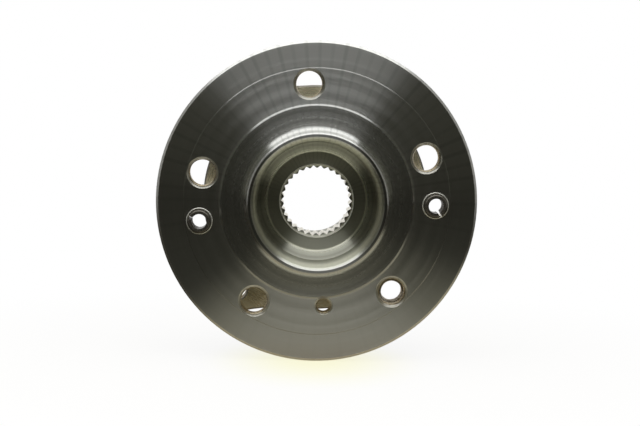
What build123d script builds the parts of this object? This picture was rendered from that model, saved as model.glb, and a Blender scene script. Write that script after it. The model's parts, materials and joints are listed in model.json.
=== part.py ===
from build123d import *
import os
from math import cos, hypot, pi, radians, sin

# Driven wheel hub bearing unit: a flanged hub that turns on two rows of balls in a flanged outer ring.
#
# Frame: the spin axis is Y. The wheel side, called outboard here, faces -Y; +X is right and +Z is up.
# The origin is the centre of the wheel's mounting face. All sizes are in millimetres.
# A profile point is (radius, out), where out is the distance outboard of the mounting face, so out is
# negative for everything behind that face.

# ---------------------------------------------------------------- Driving dimensions
# Wheel flange
BOLT_CIRCLE_DIA = 112.0
WHEEL_BOLT_COUNT = 5
WHEEL_BOLT_HOLE_DIA = 13.0  # tapped M14 x 1.5, drawn plain at the thread's pitch diameter
WHEEL_BOLT_MOUTH_DIA = 15.2
PATTERN_TURN = 94.7  # degrees from +X to the first wheel-bolt hole, as the hub stands at rest
FLANGE_MARGIN = 20.5  # from the bolt circle to the rim
FLANGE_THICKNESS = 10.5
FLANGE_ROOT_THICKNESS = 13.5
ROOT_STEP_DRAFT = 0.4
RIM_BAND = 13.1  # width of the relieved band inside the rim
RIM_RELIEF = 0.3
RIM_CHAMFER = 1.1
CENTRE_RAISE = 0.5  # the turned centre of the face stands this proud of the mounting annulus
CENTRE_MARGIN = 13.15  # from the spigot to the edge of the raised centre
CENTRE_CHAMFER = 0.8

# Disc screw hole and locating sleeves
DISC_SCREW_RADIUS = 50.0
DISC_SCREW_HOLE_DIA = 7.2  # tapped M8, drawn plain at the pitch diameter
DISC_SCREW_MOUTH_DIA = 8.7
SLEEVE_RADIUS = 56.6
SLEEVE_ANGLE = 95.6  # degrees each side of the first wheel-bolt hole
SLEEVE_DIA = 10.6
SLEEVE_BORE = 7.1
SLEEVE_MOUTH_DIA = 11.8
SLEEVE_PROUD = 4.0
SLEEVE_SHORT = 1.0  # the sleeve stops this short of the flange's back
SLEEVE_SLOT = 1.3
SLEEVE_CHAMFER = 0.4
LEFT_SLOT_ANGLE = 158.1
RIGHT_SLOT_ANGLE = -62.9

# Wheel spigot and nut recess
SPIGOT_DIA = 66.6
SPIGOT_HEIGHT = 15.5
SPIGOT_WALL = 3.1
SPIGOT_CHAMFER = 0.7
SPIGOT_MOUTH_CHAMFER = 1.2
SPIGOT_FILLET = 3.0
RECESS_DEPTH = 7.0
RECESS_DRAFT = 2.0  # how much the recess wall narrows from its mouth to the funnel
FUNNEL_WIDTH = 4.2
FUNNEL_RISE = 3.4
FLOOR_LIP = 0.4

# Drive spline
SPLINE_TEETH = 30
SPLINE_TIP_RADIUS = 15.75
SPLINE_ROOT_RADIUS = 16.9
SPLINE_ROOT_FLAT = 0.35
SPLINE_FLANK_ANGLE = 45.0
SPLINE_LENGTH = 18.0
SPLINE_MOUTH_CHAMFER = 0.55  # past the spline's root

# Hub barrel and formed nose
NOSE_CLEARANCE = 2.85  # the relief bore is this much wider than the spline's root
NOSE_WALL = 3.75  # least between the relief bore and the inner ring
COLLAR_HEIGHT = 4.3  # how far the formed collar reaches past the inner ring's bore
COLLAR_THICKNESS = 4.5
COLLAR_ROUND = 2.4
NOSE_FLARE = 1.6

# Ball rows
BALL_DIA = 12.7
BALLS_PER_ROW = 14
CONTACT_ANGLE = 38.0
GROOVE_CONFORMITY = 0.53  # groove radius over ball diameter
RUNNING_CLEARANCE = 0.10  # between ball and raceway
ROW_SPACING = 25.0
SHOULDER_DROP = 1.9  # from the pitch circle to a high shoulder
INNER_LIP = 0.5  # low shoulder over the groove's bottom
OUTER_LIP = 0.4
OUTBOARD_ROW_TURN = 0.25  # of a ball pitch
INBOARD_ROW_TURN = 0.75

# Rings
INNER_RING_WALL = 3.5  # under the groove
INNER_RING_CHAMFER = 0.8
OUTER_RING_WALL = 4.48  # over the groove
OUTER_END_WALL = 6.98  # over the groove, outboard of the knuckle flange
OUTER_RING_CHAMFER = 0.8
OUTER_END_GAP = 2.5  # hub flange to outer ring
SEAL_SEAT_STEP = 1.0  # seal seat over the outer low shoulder
PILOT_CHAMFER = 1.4

# Knuckle flange
KNUCKLE_FLANGE_SETBACK = 29.5
KNUCKLE_FLANGE_THICKNESS = 12.0
KNUCKLE_FLANGE_MARGIN = 10.6  # base circle over the pilot
KNUCKLE_BOLT_MARGIN = 15.2  # bolt radius over the pilot
KNUCKLE_BOLT_ANGLE = 50.0
KNUCKLE_BOLT_HOLE_DIA = 11.0  # tapped M12 x 1.5, drawn plain at the pitch diameter
KNUCKLE_BOLT_MOUTH_DIA = 12.4
EAR_RADIUS = 11.4
EAR_SIDE_BLEND = 7.0  # where an ear meets the base towards the sides
EAR_WEB_BLEND = 100.0  # between two ears at the top or bottom, nearly straight
EAR_CHAMFER = 0.8
BARREL_FILLET = 2.0
FACE_RELIEF_DEPTH = 0.4  # turned into the knuckle face beside the pilot
FACE_RELIEF_WIDTH = 1.2

# Cages
POCKET_CLEARANCE = 0.2
POCKET_WEB = 1.6  # least left of the cage between two pockets
CAGE_BASE = 1.65  # between a pocket and the cage's flat side
CAGE_TO_INNER = 0.5
CAGE_TO_OUTER = 0.5
PRONG_REACH = 3.2  # past the ball's centre
CAGE_RIM = 1.3
CAGE_RIM_HEIGHT = 1.9
PRONG_NOTCH = 0.9
PRONG_NOTCH_DEPTH = 1.7

# Seals
SEAL_TO_CAGE = 1.3
SHEET = 0.8
SEAL_RECESS = 0.8
OUTBOARD_SEAL_WIDTH = 4.2
INBOARD_SEAL_WIDTH = 6.0
LIP_CLEARANCE = 0.25
LIP_THICKNESS = 0.6
WEB_REACH = 5.4  # a core's web, inward from the seal seat
SLINGER_GAP = 0.5
ENCODER_THICKNESS = 0.9
ENCODER_INSET = 0.8
SEAL_LAND_STEP = 0.6  # ground seal land over the inner high shoulder
LAND_FILLET = 2.2

# ---------------------------------------------------------------- Derived sizes
BALL_RADIUS = BALL_DIA / 2
GROOVE_RADIUS = GROOVE_CONFORMITY * BALL_DIA
GROOVE_OFFSET = GROOVE_RADIUS - BALL_RADIUS - RUNNING_CLEARANCE
GROOVE_SHIFT_RADIAL = GROOVE_OFFSET * cos(radians(CONTACT_ANGLE))
GROOVE_SHIFT_AXIAL = GROOVE_OFFSET * sin(radians(CONTACT_ANGLE))
POCKET_RADIUS = BALL_RADIUS + POCKET_CLEARANCE
CAGE_REACH = POCKET_RADIUS + CAGE_BASE

# the pitch circle clears the nose and the inner ring, and has room for a row of balls and its cage
BORE_RELIEF = SPLINE_ROOT_RADIUS + NOSE_CLEARANCE
GROOVE_DEPTH = GROOVE_RADIUS - GROOVE_SHIFT_RADIAL  # from the pitch circle to the bottom of a groove
ROW_RADIUS = BALLS_PER_ROW * (2 * POCKET_RADIUS + POCKET_WEB) / (2 * pi)
PITCH_RADIUS = max(BORE_RELIEF + NOSE_WALL + INNER_RING_WALL + GROOVE_DEPTH, ROW_RADIUS)
INNER_GROOVE_BOTTOM = PITCH_RADIUS - GROOVE_DEPTH
SEAT_RADIUS = INNER_GROOVE_BOTTOM - INNER_RING_WALL
OUTER_GROOVE_BOTTOM = PITCH_RADIUS + GROOVE_DEPTH
PILOT_RADIUS = OUTER_GROOVE_BOTTOM + OUTER_RING_WALL
OUTER_END_RADIUS = OUTER_GROOVE_BOTTOM + OUTER_END_WALL
INNER_SHOULDER = PITCH_RADIUS - SHOULDER_DROP
OUTER_SHOULDER = PITCH_RADIUS + SHOULDER_DROP
INNER_LOW = INNER_GROOVE_BOTTOM + INNER_LIP
OUTER_LOW = OUTER_GROOVE_BOTTOM - OUTER_LIP
SEAL_SEAT = OUTER_LOW + SEAL_SEAT_STEP
SEAL_LAND = INNER_SHOULDER + SEAL_LAND_STEP

HUB_BACK = -FLANGE_ROOT_THICKNESS
OUTER_FRONT = HUB_BACK - OUTER_END_GAP
OUTBOARD_CORE_FRONT = OUTER_FRONT - SEAL_RECESS
OUTBOARD_CORE_BACK = OUTBOARD_CORE_FRONT - OUTBOARD_SEAL_WIDTH
OUTBOARD_ROW = OUTBOARD_CORE_BACK - SEAL_TO_CAGE - CAGE_REACH
INBOARD_ROW = OUTBOARD_ROW - ROW_SPACING
MIDDLE = (OUTBOARD_ROW + INBOARD_ROW) / 2
INBOARD_CORE_FRONT = INBOARD_ROW - CAGE_REACH - SEAL_TO_CAGE
OUTER_BACK = INBOARD_CORE_FRONT - INBOARD_SEAL_WIDTH
NOSE_END = OUTER_BACK - COLLAR_THICKNESS
SPLINE_START = -RECESS_DEPTH
SPLINE_END = SPLINE_START - SPLINE_LENGTH
KNUCKLE_FRONT = -KNUCKLE_FLANGE_SETBACK
KNUCKLE_BACK = KNUCKLE_FRONT - KNUCKLE_FLANGE_THICKNESS

BOLT_CIRCLE_RADIUS = BOLT_CIRCLE_DIA / 2
FLANGE_RADIUS = BOLT_CIRCLE_RADIUS + FLANGE_MARGIN
SPIGOT_RADIUS = SPIGOT_DIA / 2
CENTRE_RADIUS = SPIGOT_RADIUS + CENTRE_MARGIN
RECESS_MOUTH = SPIGOT_RADIUS - SPIGOT_WALL
FUNNEL_TOP = RECESS_MOUTH - RECESS_DRAFT
FLOOR_RADIUS = FUNNEL_TOP - FUNNEL_WIDTH
LEAD = 1.0  # how far a cutting tool starts outside the metal

OUTBOARD, INBOARD = 1, -1  # which way a ball row faces


# ---------------------------------------------------------------- Helpers
def at(radius, out):
    """A profile point on the sketch plane, where a turned section is drawn beside the Y axis."""
    return (radius, -out)


def turned(corners, rounds=()):
    """A solid turned about the spin axis from (radius, out) corners, with some corners rounded."""
    section = make_face(Polyline([at(*corner) for corner in corners], close=True))
    for corner, size in rounds:
        vertex = section.vertices().sort_by_distance(at(*corner))[0]
        section = fillet(vertex, size)
    return revolve(section, axis=Axis.Y)


def square_to_axis(out):
    """The plane at a distance outboard of the mounting face; its local x and y are X and Z."""
    return Plane.XZ.offset(out)


def groove(radius, out):
    """The ring of metal that a raceway's grinding wheel takes away."""
    return revolve(Pos(*at(radius, out)) * Circle(GROOVE_RADIUS), axis=Axis.Y)


def drill(hole_dia, mouth_dia, thickness, back_mouth_dia):
    """A drill with a 45 degree countersink at each face; the front face is at z = 0."""
    hole, mouth, back = hole_dia / 2, mouth_dia / 2, back_mouth_dia / 2
    section = Polyline(
        (0, LEAD),
        (mouth + LEAD, LEAD),
        (hole, hole - mouth),
        (hole, back - hole - thickness),
        (back + LEAD, -thickness - LEAD),
        (0, -thickness - LEAD),
        close=True,
    )
    return revolve(Plane.XZ * make_face(section), axis=Axis.Z)


def spot(radius, angle):
    """A place at a radius and an angle round the spin axis, counted from +X towards +Z."""
    return Pos(radius * cos(radians(angle)), radius * sin(radians(angle)))


# ---------------------------------------------------------------- Hub
def hub_section():
    """The hub's turned section: nut recess, spigot, flange, barrel and formed nose, in that order."""
    spline_mouth = SPLINE_ROOT_RADIUS + SPLINE_MOUTH_CHAMFER
    root_disc = OUTER_END_RADIUS - OUTER_RING_CHAMFER
    groove_out = OUTBOARD_ROW - GROOVE_SHIFT_AXIAL
    collar = SEAT_RADIUS + COLLAR_HEIGHT
    return [
        (SPLINE_TIP_RADIUS, SPLINE_START + SPLINE_TIP_RADIUS - spline_mouth),
        (spline_mouth, SPLINE_START),
        (FLOOR_RADIUS - FLOOR_LIP, SPLINE_START),
        (FLOOR_RADIUS, SPLINE_START + FLOOR_LIP),
        (FUNNEL_TOP, SPLINE_START + FUNNEL_RISE),
        (RECESS_MOUTH, SPIGOT_HEIGHT - SPIGOT_MOUTH_CHAMFER),
        (RECESS_MOUTH + SPIGOT_MOUTH_CHAMFER, SPIGOT_HEIGHT),
        (SPIGOT_RADIUS - SPIGOT_CHAMFER, SPIGOT_HEIGHT),
        (SPIGOT_RADIUS, SPIGOT_HEIGHT - SPIGOT_CHAMFER),
        (SPIGOT_RADIUS, CENTRE_RAISE),
        (CENTRE_RADIUS - CENTRE_CHAMFER, CENTRE_RAISE),
        (CENTRE_RADIUS, 0),
        (FLANGE_RADIUS - RIM_BAND, 0),
        (FLANGE_RADIUS - RIM_BAND + RIM_RELIEF, -RIM_RELIEF),
        (FLANGE_RADIUS - RIM_CHAMFER, -RIM_RELIEF),
        (FLANGE_RADIUS, -RIM_RELIEF - RIM_CHAMFER),
        (FLANGE_RADIUS, RIM_CHAMFER - FLANGE_THICKNESS),
        (FLANGE_RADIUS - RIM_CHAMFER, -FLANGE_THICKNESS),
        (root_disc + ROOT_STEP_DRAFT, -FLANGE_THICKNESS),
        (root_disc, HUB_BACK),
        (SEAL_LAND, HUB_BACK),
        (SEAL_LAND, OUTBOARD_CORE_BACK - SEAL_LAND_STEP),
        (INNER_SHOULDER, OUTBOARD_CORE_BACK - 2 * SEAL_LAND_STEP),
        (INNER_SHOULDER, groove_out),
        (INNER_LOW, groove_out),
        (INNER_LOW, MIDDLE),
        (SEAT_RADIUS, MIDDLE),
        (SEAT_RADIUS, OUTER_BACK),
        (collar, OUTER_BACK),
        (collar, NOSE_END),
        (BORE_RELIEF + NOSE_FLARE, NOSE_END),
        (BORE_RELIEF, NOSE_END + COLLAR_THICKNESS),
        (BORE_RELIEF, SPLINE_END - NOSE_CLEARANCE),
        (SPLINE_ROOT_RADIUS, SPLINE_END),
        (SPLINE_TIP_RADIUS, SPLINE_END),
    ]


def spline_spaces():
    """The tooth spaces of the drive spline: V-shaped, nearly pointed at the root."""
    widen = (SPLINE_ROOT_RADIUS - SPLINE_TIP_RADIUS + LEAD) / cos(radians(SPLINE_FLANK_ANGLE))
    half_root = SPLINE_ROOT_FLAT / 2
    half_mouth = half_root + widen * sin(radians(SPLINE_FLANK_ANGLE))
    inner = SPLINE_TIP_RADIUS - LEAD
    space = make_face(
        Polyline(
            (SPLINE_ROOT_RADIUS, half_root),
            (inner, half_mouth),
            (inner, -half_mouth),
            (SPLINE_ROOT_RADIUS, -half_root),
            close=True,
        )
    )
    spaces = Sketch() + [turn * space for turn in PolarLocations(0, SPLINE_TEETH)]
    return extrude(square_to_axis(SPLINE_START + LEAD) * spaces, amount=-SPLINE_LENGTH - 2 * LEAD)


def make_hub():
    """The wheel hub in one forging, with every hole of its flange and the outboard inner raceway."""
    rounds = [
        ((SPIGOT_RADIUS, CENTRE_RAISE), SPIGOT_FILLET),
        ((SEAL_LAND, HUB_BACK), LAND_FILLET),
        ((SEAT_RADIUS + COLLAR_HEIGHT, NOSE_END), COLLAR_ROUND),
    ]
    hub = turned(hub_section(), rounds)
    hub -= groove(PITCH_RADIUS + GROOVE_SHIFT_RADIAL, OUTBOARD_ROW - GROOVE_SHIFT_AXIAL)
    hub -= spline_spaces()
    face = square_to_axis(0)
    tapped = drill(WHEEL_BOLT_HOLE_DIA, WHEEL_BOLT_MOUTH_DIA, FLANGE_THICKNESS, WHEEL_BOLT_MOUTH_DIA)
    for place in PolarLocations(BOLT_CIRCLE_RADIUS, WHEEL_BOLT_COUNT, PATTERN_TURN):
        hub -= face * place * tapped
    reamed = drill(SLEEVE_DIA, SLEEVE_MOUTH_DIA, FLANGE_THICKNESS, SLEEVE_MOUTH_DIA)
    for side in (1, -1):
        hub -= face * spot(SLEEVE_RADIUS, PATTERN_TURN + side * SLEEVE_ANGLE) * reamed
    screw = drill(DISC_SCREW_HOLE_DIA, DISC_SCREW_MOUTH_DIA, FLANGE_THICKNESS, DISC_SCREW_HOLE_DIA)
    return hub - face * spot(DISC_SCREW_RADIUS, PATTERN_TURN + 180) * screw


def make_sleeve(angle, slot_angle):
    """A slotted spring sleeve, sprung into the flange and proud of it to locate the brake disc."""
    back = SLEEVE_SHORT - FLANGE_THICKNESS
    tube = Circle(SLEEVE_DIA / 2) - Circle(SLEEVE_BORE / 2)
    slot = Rot(0, 0, slot_angle) * Pos(SLEEVE_DIA / 2, 0) * Rectangle(SLEEVE_DIA, SLEEVE_SLOT)
    sleeve = extrude(tube, amount=SLEEVE_PROUD - back)
    rims = sleeve.edges().filter_by(GeomType.CIRCLE)
    outer_rims = rims.filter_by(lambda edge: edge.radius > (SLEEVE_DIA + SLEEVE_BORE) / 4)
    sleeve = chamfer(outer_rims, SLEEVE_CHAMFER)
    sleeve -= extrude(slot, amount=SLEEVE_PROUD - back)
    return square_to_axis(back) * spot(SLEEVE_RADIUS, angle) * sleeve


def make_inner_ring():
    """The pressed-on inner ring of the inboard row, from the hub's shoulder to the formed collar."""
    groove_out = INBOARD_ROW + GROOVE_SHIFT_AXIAL
    edge = INNER_RING_CHAMFER
    ring = turned(
        [
            (SEAT_RADIUS, MIDDLE),
            (INNER_LOW - edge, MIDDLE),
            (INNER_LOW, MIDDLE - edge),
            (INNER_LOW, groove_out),
            (INNER_SHOULDER, groove_out),
            (INNER_SHOULDER, OUTER_BACK + edge),
            (INNER_SHOULDER - edge, OUTER_BACK),
            (SEAT_RADIUS, OUTER_BACK),
        ]
    )
    return ring - groove(PITCH_RADIUS + GROOVE_SHIFT_RADIAL, groove_out)


# ---------------------------------------------------------------- Outer ring
def knuckle_bolt_angles():
    """The four ears stand in two mirrored pairs, nearer the top and bottom than the sides."""
    lean = KNUCKLE_BOLT_ANGLE
    return [lean, 180 - lean, 180 + lean, -lean]


def make_knuckle_flange():
    """The bolting flange: a round base with four ears blended into it."""
    base_radius = PILOT_RADIUS + KNUCKLE_FLANGE_MARGIN
    bolt_radius = PILOT_RADIUS + KNUCKLE_BOLT_MARGIN
    outline = Circle(base_radius) + [
        spot(bolt_radius, angle) * Circle(EAR_RADIUS) for angle in knuckle_bolt_angles()
    ]
    side_limit = base_radius * cos(radians(KNUCKLE_BOLT_ANGLE))
    on_base = lambda v: abs(hypot(v.X, v.Y) - base_radius) < 0.01 < abs(v.Y)
    side = outline.vertices().filter_by(lambda v: on_base(v) and abs(v.X) > side_limit)
    outline = fillet(side, EAR_SIDE_BLEND)
    inner = outline.vertices().filter_by(lambda v: on_base(v) and abs(v.X) < side_limit)
    outline = fillet(inner, EAR_WEB_BLEND)
    flange = extrude(square_to_axis(KNUCKLE_BACK) * outline, amount=KNUCKLE_FLANGE_THICKNESS)
    ends = flange.faces().sort_by(Axis.Y)
    rims = ends[0].outer_wire().edges() + ends[-1].outer_wire().edges()
    flange = chamfer(rims, EAR_CHAMFER)
    tapped = drill(
        KNUCKLE_BOLT_HOLE_DIA,
        KNUCKLE_BOLT_MOUTH_DIA,
        KNUCKLE_FLANGE_THICKNESS,
        KNUCKLE_BOLT_MOUTH_DIA,
    )
    for angle in knuckle_bolt_angles():
        flange -= square_to_axis(KNUCKLE_FRONT) * spot(bolt_radius, angle) * tapped
    return flange


def outer_ring_outside():
    """The outer ring's turned outside as a solid plug; its bore is taken out later."""
    edge = OUTER_RING_CHAMFER
    return turned(
        [
            (0, OUTER_FRONT),
            (OUTER_END_RADIUS - edge, OUTER_FRONT),
            (OUTER_END_RADIUS, OUTER_FRONT - edge),
            (OUTER_END_RADIUS, KNUCKLE_FRONT - edge),
            (PILOT_RADIUS, KNUCKLE_FRONT - edge),
            (PILOT_RADIUS, OUTER_BACK + PILOT_CHAMFER),
            (PILOT_RADIUS - PILOT_CHAMFER / 2, OUTER_BACK),
            (0, OUTER_BACK),
        ]
    )


def outer_ring_bore():
    """Everything inside the outer ring: seal seats, low shoulders and the high shoulders' land."""
    outboard_groove = OUTBOARD_ROW + GROOVE_SHIFT_AXIAL
    inboard_groove = INBOARD_ROW - GROOVE_SHIFT_AXIAL
    outboard_step = OUTBOARD_CORE_BACK - SHEET
    inboard_step = INBOARD_CORE_FRONT
    mouth = SEAL_SEAT + OUTER_RING_CHAMFER / 2
    return turned(
        [
            (0, OUTER_FRONT + LEAD),
            (mouth + LEAD, OUTER_FRONT + LEAD),
            (SEAL_SEAT, OUTER_FRONT - OUTER_RING_CHAMFER / 2),
            (SEAL_SEAT, outboard_step),
            (OUTER_LOW, outboard_step),
            (OUTER_LOW, outboard_groove),
            (OUTER_SHOULDER, outboard_groove),
            (OUTER_SHOULDER, inboard_groove),
            (OUTER_LOW, inboard_groove),
            (OUTER_LOW, inboard_step),
            (SEAL_SEAT, inboard_step),
            (SEAL_SEAT, OUTER_BACK + OUTER_RING_CHAMFER / 2),
            (mouth + LEAD, OUTER_BACK - LEAD),
            (0, OUTER_BACK - LEAD),
        ]
    )


def face_relief():
    """The shallow ring turned out of the knuckle face, so that the knuckle's edge clears the corner."""
    relief_edge = PILOT_RADIUS + FACE_RELIEF_WIDTH
    return turned(
        [
            (PILOT_RADIUS, KNUCKLE_BACK - LEAD),
            (PILOT_RADIUS, KNUCKLE_BACK + FACE_RELIEF_DEPTH),
            (relief_edge - FACE_RELIEF_DEPTH, KNUCKLE_BACK + FACE_RELIEF_DEPTH),
            (relief_edge + LEAD, KNUCKLE_BACK - LEAD),
        ]
    )


def make_outer_ring():
    """The stationary ring: two outer raceways, the knuckle flange and the knuckle pilot."""
    ring = outer_ring_outside() + make_knuckle_flange() - face_relief()
    root = ring.edges().filter_by(GeomType.CIRCLE).filter_by(
        lambda edge: abs(edge.radius - OUTER_END_RADIUS) < 0.01
        and abs(edge.arc_center.Y + KNUCKLE_FRONT) < 0.01
    )
    ring = fillet(root, BARREL_FILLET)
    ring -= outer_ring_bore()
    groove_radius = PITCH_RADIUS - GROOVE_SHIFT_RADIAL
    ring -= groove(groove_radius, OUTBOARD_ROW + GROOVE_SHIFT_AXIAL)
    return ring - groove(groove_radius, INBOARD_ROW - GROOVE_SHIFT_AXIAL)


# ---------------------------------------------------------------- Balls and cages
def ball_places(row, turn):
    """Where the balls of a row stand, as locations; turn is a share of the pitch between balls."""
    pitch = 360 / BALLS_PER_ROW
    for index in range(BALLS_PER_ROW):
        angle = radians((index + turn) * pitch)
        yield Pos(PITCH_RADIUS * cos(angle), -row, PITCH_RADIUS * sin(angle))


def make_cage(row, side, turn):
    """A moulded snap cage: a ring on the seal side, with prongs that close round each ball."""
    inner = INNER_SHOULDER + CAGE_TO_INNER
    outer = OUTER_SHOULDER - CAGE_TO_OUTER
    back, tips = row + side * CAGE_REACH, row - side * PRONG_REACH
    cage = turned(
        [
            (inner, back),
            (outer + CAGE_RIM_HEIGHT, back),
            (outer + CAGE_RIM_HEIGHT, back - side * CAGE_RIM),
            (outer, back - side * (CAGE_RIM + CAGE_RIM_HEIGHT)),
            (outer, tips),
            (inner, tips),
        ]
    )
    # the pocket's poles point in and out and its seam faces the open side, all clear of the cage
    pocket = Plane(at(PITCH_RADIUS, row), x_dir=(0, side, 0), z_dir=(1, 0, 0)) * Sphere(POCKET_RADIUS)
    notch = Pos(*at(PITCH_RADIUS, tips)) * Box(2 * (outer - inner), 2 * PRONG_NOTCH_DEPTH, PRONG_NOTCH)
    pitch = 360 / BALLS_PER_ROW
    for index in range(BALLS_PER_ROW):
        angle = (index + turn) * pitch
        cage -= Rot(0, -angle, 0) * pocket
        cage -= Rot(0, -angle - pitch / 2, 0) * notch
    return cage


# ---------------------------------------------------------------- Seals
def make_outboard_core():
    """The pressed steel carrier of the outboard seal: a rim in the outer ring and a web."""
    web = SEAL_SEAT - WEB_REACH
    return turned(
        [
            (SEAL_SEAT, OUTBOARD_CORE_FRONT),
            (SEAL_SEAT, OUTBOARD_CORE_BACK),
            (web, OUTBOARD_CORE_BACK),
            (web, OUTBOARD_CORE_BACK + SHEET),
            (SEAL_SEAT - SHEET, OUTBOARD_CORE_BACK + SHEET),
            (SEAL_SEAT - SHEET, OUTBOARD_CORE_FRONT),
        ],
        [((SEAL_SEAT, OUTBOARD_CORE_BACK), SHEET)],
    )


def make_outboard_lips():
    """The rubber of the outboard seal: an axial lip to the flange and two lips to the seal land."""
    web, web_out = SEAL_SEAT - WEB_REACH, OUTBOARD_CORE_BACK + SHEET
    tip = SEAL_LAND + LIP_CLEARANCE
    axial_tip = HUB_BACK - LIP_CLEARANCE
    foot = web_out + LIP_THICKNESS
    lip = LIP_THICKNESS
    return turned(
        [
            (SEAL_SEAT - SHEET, web_out),
            (SEAL_SEAT - SHEET, foot),
            (web + 3 * lip, foot),
            (web + 5 * lip, axial_tip),
            (web + 4 * lip, axial_tip),
            (web + lip, foot),
            (tip, foot + 2 * lip),
            (tip, foot + lip),
            (web - lip, web_out),
            (tip, OUTBOARD_CORE_BACK),
            (tip, OUTBOARD_CORE_BACK - lip),
            (web, OUTBOARD_CORE_BACK),
            (web, web_out),
        ]
    )


def make_inboard_core():
    """The pressed steel carrier of the inboard cassette seal."""
    web = SEAL_SEAT - WEB_REACH
    front, back = INBOARD_CORE_FRONT, OUTER_BACK + SEAL_RECESS
    return turned(
        [
            (SEAL_SEAT, back),
            (SEAL_SEAT, front),
            (web, front),
            (web, front - SHEET),
            (SEAL_SEAT - SHEET, front - SHEET),
            (SEAL_SEAT - SHEET, back),
        ],
        [((SEAL_SEAT, front), SHEET)],
    )


def slinger_flange_out():
    """The outboard face of the slinger's flange, which the inboard axial lip runs on."""
    return OUTER_BACK + ENCODER_THICKNESS + SHEET


def make_inboard_lips():
    """The rubber of the inboard seal: one lip to the slinger's sleeve and one to its flange."""
    web, web_out = SEAL_SEAT - WEB_REACH, INBOARD_CORE_FRONT - SHEET
    tip = INNER_SHOULDER + SHEET + LIP_CLEARANCE
    axial_tip = slinger_flange_out() + LIP_CLEARANCE
    lip = LIP_THICKNESS
    foot = web_out - lip
    return turned(
        [
            (SEAL_SEAT - SHEET, web_out),
            (SEAL_SEAT - SHEET, foot),
            (web + 3 * lip, foot),
            (web + 4 * lip, axial_tip),
            (web + 3 * lip, axial_tip),
            (web + lip, foot),
            (tip, foot - lip),
            (tip, foot),
            (web - lip, web_out),
            (tip, INBOARD_CORE_FRONT - lip),
            (tip, INBOARD_CORE_FRONT),
            (web, INBOARD_CORE_FRONT),
            (web, web_out),
        ]
    )


def make_slinger():
    """The steel slinger: a sleeve on the inner ring and a flange that closes the seal's cassette."""
    rim = SEAL_SEAT - SHEET - SLINGER_GAP
    flange_out = slinger_flange_out()
    return turned(
        [
            (INNER_SHOULDER, INBOARD_CORE_FRONT - SHEET),
            (INNER_SHOULDER, flange_out - SHEET),
            (rim, flange_out - SHEET),
            (rim, flange_out),
            (INNER_SHOULDER + SHEET, flange_out),
            (INNER_SHOULDER + SHEET, INBOARD_CORE_FRONT - SHEET),
        ],
        [((INNER_SHOULDER, flange_out - SHEET), SHEET / 2)],
    )


def make_encoder():
    """The magnetised rubber ring bonded to the slinger's flange, read by the wheel-speed sensor."""
    rim = SEAL_SEAT - SHEET - SLINGER_GAP
    bond = slinger_flange_out() - SHEET
    return turned(
        [
            (INNER_SHOULDER + ENCODER_INSET, bond),
            (rim, bond),
            (rim, bond - ENCODER_THICKNESS),
            (INNER_SHOULDER + ENCODER_INSET, bond - ENCODER_THICKNESS),
        ]
    )


# ---------------------------------------------------------------- Assembly
def make_parts():
    """Every piece of the unit, by node name."""
    parts = {
        "hub_flange": make_hub(),
        "locating_sleeve_left": make_sleeve(PATTERN_TURN + SLEEVE_ANGLE, LEFT_SLOT_ANGLE),
        "locating_sleeve_right": make_sleeve(PATTERN_TURN - SLEEVE_ANGLE, RIGHT_SLOT_ANGLE),
        "inner_ring": make_inner_ring(),
        "outer_ring": make_outer_ring(),
        "outboard_cage": make_cage(OUTBOARD_ROW, OUTBOARD, OUTBOARD_ROW_TURN),
        "inboard_cage": make_cage(INBOARD_ROW, INBOARD, INBOARD_ROW_TURN),
        "outboard_seal_core": make_outboard_core(),
        "outboard_seal_lip": make_outboard_lips(),
        "inboard_seal_core": make_inboard_core(),
        "inboard_seal_lip": make_inboard_lips(),
        "inboard_slinger": make_slinger(),
        "encoder_ring": make_encoder(),
    }
    rows = {
        "outboard": ball_places(OUTBOARD_ROW, OUTBOARD_ROW_TURN),
        "inboard": ball_places(INBOARD_ROW, INBOARD_ROW_TURN),
    }
    for name, places in rows.items():
        for number, place in enumerate(places, 1):
            parts[f"{name}_ball_{number:02d}"] = place * Sphere(BALL_RADIUS)
    return parts


os.makedirs("parts", exist_ok=True)
for node, piece in make_parts().items():
    export_step(piece, f"parts/{node}.step")
print(f"pitch diameter {2 * PITCH_RADIUS:.2f}, pilot diameter {2 * PILOT_RADIUS:.2f}")
print(f"rows at {OUTBOARD_ROW:.2f} and {INBOARD_ROW:.2f}, outer ring {OUTER_FRONT:.2f} to {OUTER_BACK:.2f}")
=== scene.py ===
# %% [markdown]
# # A wheel hub bearing, finished for looks
# The solids of the bearing arrive as a fixed frame: every piece is already in its place and at its real
# size, in metres. This lesson gives each piece the finish that its maker gave it, cuts the threads that the
# solids leave out, and sets up a small studio. Each step first says what the thing is on the real object.

# %% Load the frame
import json
from math import cos, pi, radians, sin, sqrt, tan

import bmesh
import bpy
from mathutils import Matrix, Vector


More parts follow.
